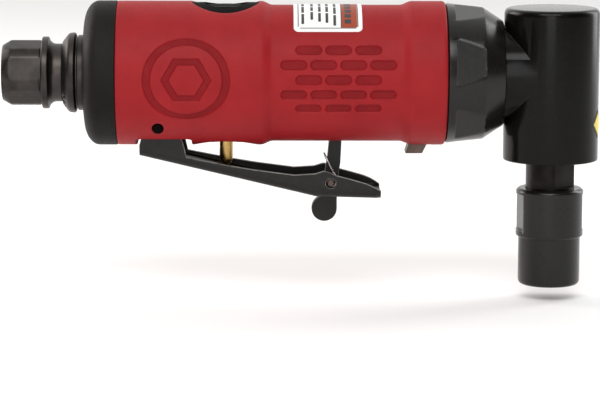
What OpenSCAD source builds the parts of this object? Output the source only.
/* [Overall] */
// Height of the motor axis above the mouth of the collet
axis_z = 50; // [49.5:0.5:51]
// Distance from the spindle axis back to the rear end of the air inlet
inlet_end = 129; // [128:0.5:131]
// Radius of the grip sleeve at its two ends
grip_r = 16.9; // [16.7:0.1:17.2]
// Radius of the grip sleeve at its waist
waist_r = 16; // [15.9:0.1:16.2]

/* [Handle] */
// Distance from the spindle axis to the rear edge of the grip sleeve
sleeve_rear = 102; // [101.8:0.1:102.3]
// Distance from the spindle axis to the front edge of the grip sleeve
sleeve_front = 25.2; // [25:0.1:25.3]
// Radius of the metal housing inside the grip sleeve
housing_r = 14.6; // [14.5:0.05:14.7]
// Radius of the rubber cap behind the grip sleeve
cap_r = 16.95; // [16.8:0.05:17.1]
// Length of the rubber cap
cap_len = 7.7; // [7.5:0.1:7.9]
// Radius of the round window on top of the grip sleeve
window_r = 8; // [7.6:0.1:8.2]

/* [Air inlet] */
// Width across the flats of the inlet hexagon
inlet_flats = 14.29; // [14:0.01:14.6]
// Width across the rounded corners of the inlet hexagon
inlet_corners = 15.25; // [15:0.05:15.6]
// Radius of the hose thread bore
inlet_bore_r = 5.65; // [5.5:0.05:5.7]
// Depth of the hose thread bore
inlet_bore_len = 9.4; // [9:0.1:9.6]

/* [Head] */
// Radius of the upright cylinder of the angle head
head_r = 11.2; // [11.1:0.05:11.4]
// Height of the top of the angle head above the motor axis
head_top = 15.4; // [15.2:0.1:15.8]
// Depth of the bottom of the angle head below the motor axis
head_bottom = 20.5; // [20.3:0.05:20.7]
// Radius of the neck that the clamp nut holds
neck_r = 10.4; // [10.2:0.05:10.6]
// Largest radius of the clamp nut
clamp_r = 16.45; // [16.3:0.05:16.6]
// Distance from the clamp nut's axis to each of its six flats
clamp_flat = 15.15; // [15.05:0.05:15.3]

/* [Collet] */
// Bore of the collet, for a quarter inch shank
collet_bore = 6.35; // [6:0.01:6.4]
// Length of the collet
collet_len = 22.9; // [22.5:0.1:23]
// Largest diameter of the collet nut
nut_d = 15.9; // [15.7:0.1:16.1]
// Width across the two flats of the collet nut
nut_flats = 14.3; // [14.2:0.1:14.5]
// Width across the two flats of the spindle
spindle_flats = 9; // [8.9:0.1:9.2]

/* [Throttle] */
// Distance from the spindle axis back to the lever pivot
pivot_x = 92.3; // [92.2:0.1:92.5]
// Depth of the lever pivot below the motor axis
pivot_drop = 11.8; // [11.7:0.1:11.9]
// Outside width of the pressed lever
lever_w = 15; // [14.8:0.1:15.2]
// Thickness of the lever's steel
lever_t = 1.2; // [1.1:0.1:1.3]
// Diameter of the valve stem
stem_d = 3.14; // [3:0.02:3.2]
// Distance from the spindle axis back to the valve stem
valve_x = 76.6; // [76.4:0.1:76.8]

/* [Hidden] */
$fn = 72;
fit = 0.05;                    // gap between pieces that sit in one another
run = 0.08;                    // radial gap of a turning or sliding fit
far = 40;                      // longer than any cut has to be
beyond = -135;                 // behind the rear end of the grinder

// Motor, measured back from the spindle axis
motor_r = 12.7;
rear_plate = [-68, -61];
cylinder_span = [-61, -31];
front_plate = [-31, -23];
motor_bore_r = 10.1;
motor_offset = 1.1;            // how far the cylinder bore lies below the rotor axis
rotor_r = 8.9;
vane_t = 1.6;
vane_h = 4.9;
vane_top = 8.5;                // low enough to pass the nearest side of the bore
vane_shift = 1.5;              // each vane slot stands this far to one side of the axis
housing_front = -18;
housing_rear = -107.7;
spigot_r = 13.85;
cap_seat_r = 13.4;
shank_r = 6.4;
shank_front = -99.2;
screen_r = 5.1;
dowel_r = 0.9;
dowel_rise = 11.15;

// Bevel gears: 12 and 16 teeth, both cones meet where the two axes cross
pinion_teeth = 12;
gear_teeth = 16;
pinion_r = 6;
gear_r = 8;
gear_scale = 0.7;              // size of a tooth's small end against its large end
tooth_top = 0.7;
tooth_root = 1.25;
tooth_w = 1.15;

// Heights of the head's parts, from the motor axis
upper_bearing = [8.3, 14.3];
lower_bearing = [-16.5, -10.5];
spindle_r = 5.75;
nut_top = -27.2;
nut_step = -38.6;
nut_bottom = -50.3;

// Bearings as [bore radius, outer radius, ball radius, number of balls]
small_bearing = [3, 9.5, 1.75, 7];
front_bearing = [4, 11, 1.98, 7];
lower_race = [4, 9.5, 1.6, 8];

// Lever and lock
pin_r = 1.3;
lock_pin_r = 0.8;
heel = [-96.8, -18.8];
knee = [-55.6, -28.2];
toe = [-40.2, -28.6];
lock_pivot = [-52, -25.25];
lock_t = 2.4;
disc_at = [-1.44, -6.9];
disc_r = 3;

// ---- Helpers ----

// Lifts a part that is drawn about the motor axis to its true height.
module lift() {
    translate([0, 0, axis_z]) children();
}

// Turns a profile of [distance along X, radius] points about the motor axis.
module turn_x(profile) {
    rotate([0, 90, 0]) rotate_extrude() polygon([for (p = profile) [p[1], p[0]]]);
}

// Turns a profile of [radius, height] points about an upright axis.
module turn_z(profile) {
    rotate_extrude() polygon(profile);
}

// A rod along X between two places.
module rod_x(span, r) {
    translate([span[0], 0, 0]) rotate([0, 90, 0]) cylinder(r = r, h = span[1] - span[0]);
}

// A rod along Y, centred.
module rod_y(length, r) {
    rotate([90, 0, 0]) cylinder(r = r, h = length, center = true);
}

// An upright rod between two heights.
module rod_z(span, r) {
    translate([0, 0, span[0]]) cylinder(r = r, h = span[1] - span[0]);
}

// An upright tube between two heights.
module tube_z(span, outer, inner) {
    turn_z([[inner, span[0]], [outer, span[0]], [outer, span[1]], [inner, span[1]]]);
}

// A tube along X between two places.
module tube_x(span, outer, inner) {
    turn_x([[span[0], inner], [span[0], outer], [span[1], outer], [span[1], inner]]);
}

// A side view outline, given as X and height, made into a plate centred on the middle plane.
module side_plate(thickness) {
    rotate([90, 0, 0]) linear_extrude(thickness, center = true) children();
}

// Points of a round corner, by its centre, its two radii and its start and end angles.
function corner(at, rx, ry, from, to, steps = 8) = [
    for (i = [0:steps]) let (a = from + (to - from) * i / steps)
        at + [rx * cos(a), ry * sin(a)]
];

function unit(v) = v / norm(v);
function heading(path, i) = unit(path[min(i + 1, len(path) - 1)] - path[max(i - 1, 0)]);

// A round wire along a path, whose direction is never along `up`.
module wire(path, r, up, sides = 8) {
    last = len(path) - 1;
    points = [
        for (i = [0:last])
            let (t = heading(path, i), u = unit(cross(up, t)), v = cross(t, u))
                for (k = [0:sides - 1])
                    path[i] + r * (cos(360 * k / sides) * u + sin(360 * k / sides) * v)
    ];
    skin = [
        for (i = [0:last - 1], k = [0:sides - 1])
            let (a = i * sides + k, b = i * sides + (k + 1) % sides)
                each [[a, a + sides, b], [b, a + sides, b + sides]]
    ];
    first_end = [for (k = [0:sides - 1]) k];
    last_end = [for (k = [sides - 1:-1:0]) last * sides + k];
    polyhedron(points, concat([first_end], skin, [last_end]));
}

// Height of the underside of the lever's web at a place along X.
function web_z(x) = x < knee[0]
    ? heel[1] + (knee[1] - heel[1]) * (x - heel[0]) / (knee[0] - heel[0])
    : knee[1] + (toe[1] - knee[1]) * (x - knee[0]) / (toe[0] - knee[0]);

// ---- Ball bearings, upright and centred on their height ----

function ball_circle(b) = (b[0] + b[1]) / 2;

module race(inner, outer, width, b) {
    rotate_extrude() difference() {
        translate([inner, -width / 2]) square([outer - inner, width]);
        translate([ball_circle(b), 0]) circle(r = b[2] + fit);
    }
}

module outer_race(b, width) {
    color("silver") race(ball_circle(b) + 0.6 * b[2], b[1] - fit, width, b);
}

module inner_race(b, width) {
    color("silver") race(b[0] + fit / 2, ball_circle(b) - 0.6 * b[2], width, b);
}

module ball_set(b) {
    color("gainsboro") for (i = [0:b[3] - 1])
        rotate(360 * i / b[3]) translate([ball_circle(b), 0, 0]) sphere(r = b[2], $fn = 32);
}

module at_rear_bearing() {
    lift() translate([-65, 0, 0]) rotate([0, 90, 0]) children();
}

module at_front_bearing() {
    lift() translate([-26.5, 0, 0]) rotate([0, 90, 0]) children();
}

module at_upper_bearing() {
    lift() translate([0, 0, (upper_bearing[0] + upper_bearing[1]) / 2]) children();
}

module at_lower_bearing() {
    lift() translate([0, 0, (lower_bearing[0] + lower_bearing[1]) / 2]) children();
}

module rear_bearing_outer() {
    at_rear_bearing() outer_race(small_bearing, 5.9);
}

module rear_bearing_inner() {
    at_rear_bearing() inner_race(small_bearing, 5.9);
}

module rear_bearing_balls() {
    at_rear_bearing() ball_set(small_bearing);
}

module front_bearing_outer() {
    at_front_bearing() outer_race(front_bearing, 6.9);
}

module front_bearing_inner() {
    at_front_bearing() inner_race(front_bearing, 6.9);
}

module front_bearing_balls() {
    at_front_bearing() ball_set(front_bearing);
}

module upper_bearing_outer() {
    at_upper_bearing() outer_race(small_bearing, 5.9);
}

module upper_bearing_inner() {
    at_upper_bearing() inner_race(small_bearing, 5.9);
}

module upper_bearing_balls() {
    at_upper_bearing() ball_set(small_bearing);
}

module lower_bearing_outer() {
    at_lower_bearing() outer_race(lower_race, 5.9);
}

module lower_bearing_inner() {
    at_lower_bearing() inner_race(lower_race, 5.9);
}

module lower_bearing_balls() {
    at_lower_bearing() ball_set(lower_race);
}

// ---- Handle ----

// Cuts that the housing and the sleeve share: the lever's slot and the lock arm's notch.
module lever_slot() {
    slot = [-97.4, -84.6];
    translate([slot[0], -8, -far]) cube([slot[1] - slot[0], 16, far - 8.2]);
}

module lock_notch() {
    notch = [-60, -50];
    translate([notch[0], -1.6, -far]) cube([notch[1] - notch[0], 3.2, far - 14.15]);
}

module motor_housing() {
    felt_pocket = [beyond, -103.4];
    duct_circle = 11.6;
    duct_r = 1.8;
    color("slategray") lift() difference() {
        turn_x([
            [housing_rear, 0], [housing_rear, cap_seat_r], [-sleeve_rear, cap_seat_r],
            [-sleeve_rear, housing_r], [-sleeve_front, housing_r],
            [-sleeve_front, spigot_r], [housing_front, spigot_r], [housing_front, 0]
        ]);
        // motor chamber
        rod_x([rear_plate[0] - 0.1, 0], motor_r + fit);
        // inlet shank and the air passage to the valve
        rod_x([beyond, shank_front + 0.1], shank_r + fit);
        rod_x([-100, -valve_x], 4);
        tube_x(felt_pocket, 12.1, 7.8);
        // valve chamber, seat and the guide's bore
        translate([-valve_x, 0, 0]) {
            rod_z([-3, far], 4.25);
            rod_z([-6, 0], 2.7);
            rod_z([-far, -5], 3.45);
            rod_z([12.1, far], window_r - fit);
        }
        // live air passage down to the motor's rear plate
        translate([-valve_x, 0, -5.6]) rotate([0, 123, 0]) cylinder(r = 1.3, h = 11);
        // exhaust ducts
        for (side = [-1, 1])
            rotate([45 * side, 0, 0]) translate([0, 0, duct_circle]) rod_x([-104, -36], duct_r);
        lever_slot();
        lock_notch();
        translate([-pivot_x, 0, -pivot_drop]) rod_y(far, pin_r + fit);
    }
}

module grip_sleeve() {
    bore_r = housing_r + fit;
    color("firebrick") lift() difference() {
        turn_x(concat(
            [[-sleeve_rear, bore_r], [-sleeve_rear, grip_r]],
            [[-68.2, grip_r], [-65.8, waist_r], [-35.8, waist_r], [-33.2, grip_r]],
            corner([-sleeve_front - 0.8, grip_r - 0.8], 0.8, 0.8, 90, 0),
            [[-sleeve_front, bore_r]]
        ));
        translate([-valve_x, 0, 0]) {
            rod_z([0, far], window_r);
            rod_z([-far, 0], 4);
        }
        lever_slot();
        lock_notch();
        clip_block(0.1, 1);
        translate([-pivot_x, 0, -pivot_drop]) rod_y(far, pin_r + fit);
    }
}

module rear_cap() {
    rear = -sleeve_rear - cap_len;
    color("dimgray") lift() turn_x(concat(
        [[rear, 9.2]],
        corner([rear + 3.5, cap_r - 5.2], 3.5, 5.2, 180, 90, 10),
        [[-sleeve_rear - fit, cap_r], [-sleeve_rear - fit, cap_seat_r + fit]],
        [[housing_rear - fit, cap_seat_r + fit], [housing_rear - fit, 9.2]]
    ));
}

// The slanted block of the sleeve clip, grown by a gap and drawn taller where it is used as a cut.
module clip_block(gap = 0, rise = 0) {
    top = -housing_r - fit;
    side_plate(6 + 2 * gap) polygon([
        [-33.1 - gap + 0.32 * rise, top + rise], [-28.4 + gap + 0.52 * rise, top + rise],
        [-30.5 + gap, -18.7 - gap], [-34.4 - gap, -18.7 - gap]
    ]);
}

module sleeve_clip() {
    color("gray") lift() clip_block();
}

module top_insert() {
    color("black") lift() intersection() {
        translate([-valve_x, 0, 0]) tube_z([12.15, 20], window_r - 2 * fit, 5.2);
        rod_x([beyond, 0], grip_r - 0.3);
    }
}

module warning_label() {
    wrap = 96;
    color("white") lift() rotate([wrap / 2, 0, 0])
        rotate([0, 90, 0]) translate([0, 0, -60.8])
            rotate([0, 0, 180 - wrap]) rotate_extrude(angle = wrap)
                translate([waist_r + fit, 0]) square([0.12, 15.9]);
}

module hazard_label() {
    color("gold") intersection() {
        tube_z([30, 46], head_r + fit + 0.1, head_r + fit);
        translate([0, 0, 38.4]) rotate([0, 0, -18]) rotate([45, 0, 0])
            translate([0, -2.33, -2.33]) cube([20, 4.66, 4.66]);
    }
}

// ---- Air inlet and exhaust ----

module inlet_bushing() {
    hex_front = -119.8;
    neck_front = -115;
    color("darkslategray") lift() difference() {
        union() {
            rotate([-13, 0, 0]) intersection() {
                translate([-inlet_end, 0, 0]) rotate([0, 90, 0])
                    cylinder(r = inlet_flats / sqrt(3), h = inlet_end + hex_front, $fn = 6);
                turn_x([
                    [-inlet_end, 0], [-inlet_end, inlet_flats / 2 - 0.2],
                    [-inlet_end + 0.7, inlet_corners / 2],
                    [hex_front, inlet_corners / 2], [hex_front, 0]
                ]);
            }
            turn_x([
                [hex_front, 0], [hex_front, 8.1], [hex_front + 0.4, 8.5], [-118.2, 8.5],
                [-117.9, 8.2], [-117.9, 6.85], [neck_front, 6.85], [neck_front, shank_r],
                [shank_front, shank_r], [shank_front, 0]
            ]);
        }
        rod_x([-inlet_end - 1, -inlet_end + inlet_bore_len], inlet_bore_r);
        rod_x([-inlet_end, -inlet_end + inlet_bore_len + 0.6], screen_r + fit);
        rod_x([-inlet_end, 0], 4.4);
        // groove of the shank's seal
        tube_x([-102.6, -101], 8, 5.6);
    }
}

module inlet_screen() {
    color("silver") lift() translate([-inlet_end + inlet_bore_len, 0, 0]) difference() {
        rod_x([0.05, 0.55], screen_r);
        for (ring = [0:2], i = [0:max(0, 6 * ring - 1)])
            rotate([360 * i / max(1, 6 * ring), 0, 0]) translate([0, 0, 1.5 * ring])
                rod_x([-1, 1], 0.5);
    }
}

module inlet_seal() {
    color("black") lift() translate([-101.8, 0, 0]) rotate([0, 90, 0])
        rotate_extrude() translate([6.02, 0]) circle(r = 0.38, $fn = 24);
}

module exhaust_deflector() {
    step_x = -111.7;
    color("darkslategray") lift() difference() {
        turn_x([
            [-114.9, shank_r + run], [-114.9, 7.3], [-113.4, 9.45], [step_x, 9.45],
            [step_x, 8.85], [-108, 8.85], [-108, 8.2], [-111, 8.2], [-111, shank_r + run]
        ]);
        // outlet holes on one side of the rear face
        for (i = [-3:3])
            rotate([18 * i, 0, 0]) translate([0, 0, -7.9]) rod_x([-116, -110], 0.65);
    }
}

module exhaust_felt() {
    color("tan") lift() tube_x([-107.6, -104.2], 12, 7.9);
}

// ---- Throttle ----

module lever_side() {
    union() {
        polygon([
            heel, [heel[0], -16.2], [-pivot_x - 3.2, -pivot_drop],
            [-pivot_x + 3.2, -pivot_drop], [-86.7, -15.5], [-85.8, web_z(-85.8) + 2.1],
            [-75.2, web_z(-75.2) + 2.7], [-62, web_z(-62) + 3.75],
            [-54.4, web_z(-54.4) + 5.85], [-52.9, web_z(-52.9) + 5.8],
            [-50.9, web_z(-50.9) + 4.8], [-42.2, web_z(-42.2) + 2.75],
            [-40.9, web_z(-40.9) + 2.2], [toe[0], toe[1] + 1.1],
            [toe[0] - 0.3, toe[1] + 0.2], [toe[0] - 0.9, toe[1]], knee
        ]);
        translate([-pivot_x, -pivot_drop]) circle(r = 3.2);
    }
}

module lever_web() {
    polygon([
        heel, [heel[0], heel[1] + lever_t], [knee[0], knee[1] + lever_t],
        [toe[0] - 0.4, toe[1] + lever_t], [toe[0] - 0.3, toe[1] + 0.2],
        [toe[0] - 0.9, toe[1]], knee
    ]);
}

module throttle_lever() {
    slot = [-56, -42.1];
    color("dimgray") lift() difference() {
        union() {
            for (side = [-1, 1])
                translate([0, side * (lever_w - lever_t) / 2, 0]) side_plate(lever_t) lever_side();
            side_plate(lever_w - 0.4) lever_web();
        }
        translate([-pivot_x, 0, -pivot_drop]) rod_y(far, pin_r + run);
        translate([lock_pivot[0], 0, lock_pivot[1]]) rod_y(far, lock_pin_r + fit);
        translate([slot[0], -1.7, -far]) cube([slot[1] - slot[0], 3.4, 14]);
    }
}

module lever_pin() {
    color("gray") lift() translate([-pivot_x, 0, -pivot_drop]) rod_y(23, pin_r);
}

module lock_off_lever() {
    color("dimgray") lift() translate([lock_pivot[0], 0, lock_pivot[1]]) difference() {
        union() {
            side_plate(lock_t) polygon([
                [-1.6, -1.2], [-1.1, 3.6], [-0.5, 8.6], [-0.2, 8.95], [2.2, 8.95], [2.1, 4],
                [1.7, 0.6], [1.5, -2], [1.1, -5.9], disc_at, [-1.9, -3.4]
            ]);
            side_plate(lock_t) translate(disc_at) circle(r = disc_r);
        }
        rod_y(far, lock_pin_r + run);
    }
}

module lock_pin() {
    color("silver") lift() translate([lock_pivot[0], 0, lock_pivot[1]])
        rod_y(lever_w - 0.2, lock_pin_r);
}

// Torsion spring beside the lock arm: one leg rests on the web, the other holds the arm back.
module lock_spring() {
    coil_r = 1.35;
    turns = 3;
    steps = 12;
    coil = [
        for (i = [0:turns * steps]) let (a = 200 + 360 * i / steps)
            [coil_r * cos(a), -4.6 + 0.8 * i / steps, coil_r * sin(a)]
    ];
    color("silver") lift() translate([lock_pivot[0], 0, lock_pivot[1]])
        wire(concat(
            [[-8, -4.6, -0.25], [-4, -4.6, -0.4]], coil,
            [[-1.9, -2.1, 2.6], [-2.1, -1.7, 4.6], [-1.7, -0.4, 5.6], [-1.7, 1.2, 5.7]]
        ), 0.28, [0.1, 0, 1]);
}

module valve_stem() {
    foot = -21.85;
    r = stem_d / 2;
    color("goldenrod") lift() translate([-valve_x, 0, 0]) turn_z(concat(
        [[0, foot]],
        corner([0, foot + r], r, r, -90, 0),
        [[r, -2.95], [1.2, -2.95], [1.2, -1], [0, -1]]
    ));
}

module valve_guide() {
    color("darkgoldenrod") lift() translate([-valve_x, 0, 0])
        tube_z([-15.9, -8], 3.4, stem_d / 2 + run);
}

module stem_seal() {
    color("black") lift() translate([-valve_x, 0, -7.25]) rotate_extrude()
        translate([stem_d / 2 + 0.78, 0]) circle(r = 0.7, $fn = 24);
}

module throttle_valve() {
    color("goldenrod") lift() translate([-valve_x, 0, 0]) difference() {
        turn_z([[0, -2.9], [2.5, -2.9], [2.5, -2], [3.7, -2], [3.7, -0.6], [0, -0.6]]);
        rod_z([-4, -0.95], 1.2 + fit / 2);
    }
}

module valve_seal() {
    color("black") lift() translate([-valve_x, 0, 0]) tube_z([-2.92, -2.05], 3.6, 2.55);
}

module valve_spring() {
    turns = 5;
    steps = 14;
    base = -0.2;
    rise = 8.3;
    color("silver") lift() translate([-valve_x, 0, 0]) wire([
        for (i = [0:turns * steps]) let (a = 360 * i / steps)
            [3.05 * cos(a), 3.05 * sin(a), base + rise * i / (turns * steps)]
    ], 0.34, [0, 0, 1]);
}

module air_regulator() {
    color("black") lift() translate([-valve_x, 0, 0]) difference() {
        turn_z([
            [0, 8.6], [4.15, 8.6], [4.15, 10.2], [3.45, 10.2], [3.45, 11.4], [4.15, 11.4],
            [4.15, 12.2], [5.1, 12.2], [5.1, 15.6], [4.8, 15.9], [0, 15.9]
        ]);
        translate([-3.8, -0.5, 14.9]) cube([7.6, 1, 2]);
    }
}

module regulator_seal() {
    color("dimgray") lift() translate([-valve_x, 0, 10.8]) rotate_extrude()
        translate([3.8, 0]) circle(r = 0.34, $fn = 24);
}

// ---- Motor ----

module motor_cylinder() {
    color("darkgray") lift() difference() {
        rod_x(cylinder_span, motor_r);
        translate([0, 0, -motor_offset])
            rod_x([cylinder_span[0] - 1, cylinder_span[1] + 1], motor_bore_r);
        // exhaust ports into the two ducts
        for (side = [-1, 1], i = [0:4])
            rotate([45 * side, 0, 0]) translate([-56 + 4.6 * i, 0, 5]) rod_z([0, 10], 1.1);
        translate([0, 0, dowel_rise]) rod_x([-62, -58], dowel_r + fit);
    }
}

module rear_end_plate() {
    color("darkgray") lift() difference() {
        rod_x(rear_plate, motor_r);
        rod_x([rear_plate[0] - 1, -62], small_bearing[1]);
        rod_x([-63, -60], 3.6);
        translate([0, 0, dowel_rise]) rod_x([-64, -60], dowel_r + fit);
        translate([0, 0, -11.1]) rod_x([-70, -60], 1);
    }
}

module front_end_plate() {
    color("darkgray") lift() difference() {
        rod_x(front_plate, motor_r);
        rod_x([-30, -20], front_bearing[1]);
        rod_x([-32, -29], 4.6);
    }
}

module dowel_pin() {
    color("silver") lift() translate([0, 0, dowel_rise]) rod_x([-63.9, -58.1], dowel_r);
}

module vane_slots() {
    width = vane_t + 2 * run;
    start = cylinder_span[0] - 1;
    for (i = [0:3])
        rotate([90 * i, 0, 0])
            translate([start, vane_shift - width / 2, vane_top - vane_h - run])
                cube([cylinder_span[1] + 1 - start, width, rotor_r]);
}

module rotor() {
    core = [cylinder_span[0] + 0.1, cylinder_span[1] - 0.1];
    color("silver") lift() union() {
        difference() {
            rod_x(core, rotor_r);
            vane_slots();
        }
        rod_x([rear_plate[0] + 0.1, core[0] + 0.1], 3);
        turn_x([
            [core[1] - 0.1, 0], [core[1] - 0.1, 4], [-22.9, 4], [-22.4, 3.5],
            [-13.2, 3.5], [-13.2, 2.4], [-5.4, 2.4], [-5, 2], [-5, 0]
        ]);
    }
}

module vane(i) {
    color("saddlebrown") lift() rotate([90 * i, 0, 0])
        translate([cylinder_span[0] + 0.2, vane_shift - vane_t / 2, vane_top - vane_h])
            cube([cylinder_span[1] - cylinder_span[0] - 0.4, vane_t, vane_h]);
}

module vane_1() {
    vane(0);
}

module vane_2() {
    vane(1);
}

module vane_3() {
    vane(2);
}

module vane_4() {
    vane(3);
}

// Teeth of a bevel gear, large end at the bottom, narrowing towards the point of its cone.
module bevel_teeth(teeth, pitch_r, point_height) {
    pitch = 360 / teeth;
    tip_w = tooth_w - 0.45;
    root_w = tooth_w + 0.7;
    tip_r = pitch_r + tooth_top;
    root_r = pitch_r - tooth_root;
    tip_a = tip_w / tip_r * 90 / PI;
    mid_a = tooth_w / pitch_r * 90 / PI;
    root_a = root_w / root_r * 90 / PI;
    linear_extrude(point_height * (1 - gear_scale), scale = gear_scale) polygon([
        for (i = [0:teeth - 1])
            for (p = [[-root_a, root_r], [-mid_a, pitch_r], [-tip_a, tip_r],
                    [tip_a, tip_r], [mid_a, pitch_r], [root_a, root_r]])
                p[1] * [cos(i * pitch + p[0]), sin(i * pitch + p[0])]
    ]);
}

module bevel_pinion() {
    color("silver") lift() difference() {
        union() {
            translate([-gear_r, 0, 0]) rotate([0, 90, 0]) bevel_teeth(pinion_teeth, pinion_r, gear_r);
            rod_x([-13, -gear_r], 4.7);
        }
        rod_x([-20, 0], 2.4 + fit / 2);
    }
}

// ---- Head ----

module clamp_nut() {
    shoulder = -15.4;
    front = -11.5;
    color("black") lift() difference() {
        turn_x([
            [-sleeve_front + fit, 13.95], [-sleeve_front + fit, clamp_r - 0.3],
            [-sleeve_front + 0.35, clamp_r], [-16.4, 15.5], [-15.8, 15.2],
            [front, 12.3], [front, neck_r + 0.15], [shoulder, neck_r + 0.15], [shoulder, 13.95]
        ]);
        rotate([-15, 0, 0]) for (i = [0:5])
            rotate([60 * i, 0, 0]) translate([-23.1, -far / 2, clamp_flat]) cube([6.5, far, 5]);
    }
}

module angle_head() {
    chamfer = 0.5;
    fillet = 1.5;
    color("black") lift() difference() {
        union() {
            turn_z(concat(
                [[0, -head_bottom], [head_r - chamfer, -head_bottom],
                    [head_r, -head_bottom + chamfer]],
                corner([head_r - fillet, head_top - fillet], fillet, fillet, 0, 90),
                [[0, head_top]]
            ));
            turn_x([
                [-22.95, 0], [-22.95, motor_r - fit], [housing_front + fit, motor_r - fit],
                [housing_front + fit, 13.85], [-15.45, 13.85], [-15.45, neck_r], [0, neck_r], [0, 0]
            ]);
        }
        rod_z([-far, upper_bearing[1]], 9.5);
        rod_x([-30, 0], 8.4);
    }
}

module bearing_cap() {
    color("gray") lift() difference() {
        tube_z([-head_bottom, -16.55], 9.5 - fit, 5.95);
        tube_z([-18.6, -16], 7.4, 5);
        // pin spanner holes
        for (i = [0:3])
            rotate(45 + 90 * i) translate([8.4, 0, 0]) rod_z([-head_bottom - 1, -18.6], 0.6);
    }
}

module head_seal() {
    color("tan") lift() tube_z([-18.55, -16.7], 7.35, 5.84);
}

module spindle() {
    seat_top = -39.9;
    end = -43.5;
    color("dimgray") lift() difference() {
        turn_z([
            [0, 14], [2.7, 14], [3, 13.7], [3, upper_bearing[0]], [3.6, upper_bearing[0]],
            [3.6, -2.9], [3.3, -2.9], [3.3, -3.6], [3.6, -3.6], [3.6, -10.2], [4, -10.2], [4, -16.55],
            [spindle_r, -16.6], [spindle_r, end + 0.5], [spindle_r - 0.4, end], [0, end]
        ]);
        // wrench flats
        rotate(-47) for (side = [-1, 1])
            translate([side * (spindle_flats / 2 + 5) - 5, -far / 2, nut_top + 0.3])
                cube([10, far, 5.8]);
        // collet bore and its seat
        rod_z([end - 1, -27], 4.08);
        turn_z([
            [0, seat_top], [collet_cone(seat_top) + run, seat_top],
            [collet_cone(end) + run, end], [collet_cone(end) + run, end - 1], [0, end - 1]
        ]);
    }
}

module bevel_gear() {
    color("silver") lift() difference() {
        union() {
            translate([0, 0, -pinion_r]) rotate(180 / gear_teeth)
                bevel_teeth(gear_teeth, gear_r, pinion_r);
            rod_z([-10, -pinion_r], 6.3);
        }
        rod_z([-11, 0], 3.6 + fit / 2);
    }
}

module gear_retaining_ring() {
    color("silver") lift() difference() {
        tube_z([-3.55, -2.95], 4.7, 3.35);
        translate([0, -0.8, -4]) cube([6, 1.6, 2]);
    }
}

// ---- Collet ----

// Radius of the collet's cone at a height measured from the motor axis.
function collet_cone(z) = 4.3 + (-axis_z + 10 - z) / 6.4 * 1.2;

module collet() {
    slit = 0.7;
    color("darkgray") difference() {
        turn_z([
            [0, 0], [3.65, 0], [3.95, 0.3], [3.95, 1], [5.5, 2.6], [5.5, 3.6], [4.3, 10],
            [3.7, 10], [3.7, collet_len - 5.3], [4, collet_len - 5.3], [4, collet_len - 0.3],
            [3.7, collet_len], [0, collet_len]
        ]);
        rod_z([-1, collet_len + 1], collet_bore / 2);
        for (i = [0:1])
            rotate(35 + 90 * i) translate([-10, -slit / 2, -1]) cube([20, slit, collet_len - 3.6]);
    }
}

module collet_nut() {
    r = nut_d / 2;
    low_r = 7.3;
    bore_r = spindle_r + run;
    color("black") lift() difference() {
        turn_z(concat(
            [[4.15, nut_bottom]],
            corner([low_r - 1.2, nut_bottom + 1.2], 1.2, 1.2, -90, 0),
            [[low_r, nut_step], [r - 0.3, nut_step], [r, nut_step + 0.3], [r, nut_top - 0.5],
                [r - 0.5, nut_top], [bore_r, nut_top], [bore_r, -47.3], [4.15, -48.95]]
        ));
        rotate(8.6) for (side = [-1, 1])
            translate([side * (nut_flats / 2 + 5) - 5, -far / 2, nut_step + 1.5]) cube([10, far, 8.6]);
    }
}

motor_housing();
grip_sleeve();
rear_cap();
sleeve_clip();
top_insert();
warning_label();
hazard_label();
inlet_bushing();
inlet_screen();
inlet_seal();
exhaust_deflector();
exhaust_felt();
throttle_lever();
lever_pin();
lock_off_lever();
lock_pin();
lock_spring();
valve_stem();
valve_guide();
stem_seal();
throttle_valve();
valve_seal();
valve_spring();
air_regulator();
regulator_seal();
motor_cylinder();
rear_end_plate();
front_end_plate();
dowel_pin();
rotor();
vane_1();
vane_2();
vane_3();
vane_4();
bevel_pinion();
rear_bearing_outer();
rear_bearing_inner();
rear_bearing_balls();
front_bearing_outer();
front_bearing_inner();
front_bearing_balls();
clamp_nut();
angle_head();
bearing_cap();
head_seal();
spindle();
bevel_gear();
gear_retaining_ring();
upper_bearing_outer();
upper_bearing_inner();
upper_bearing_balls();
lower_bearing_outer();
lower_bearing_inner();
lower_bearing_balls();
collet();
collet_nut();
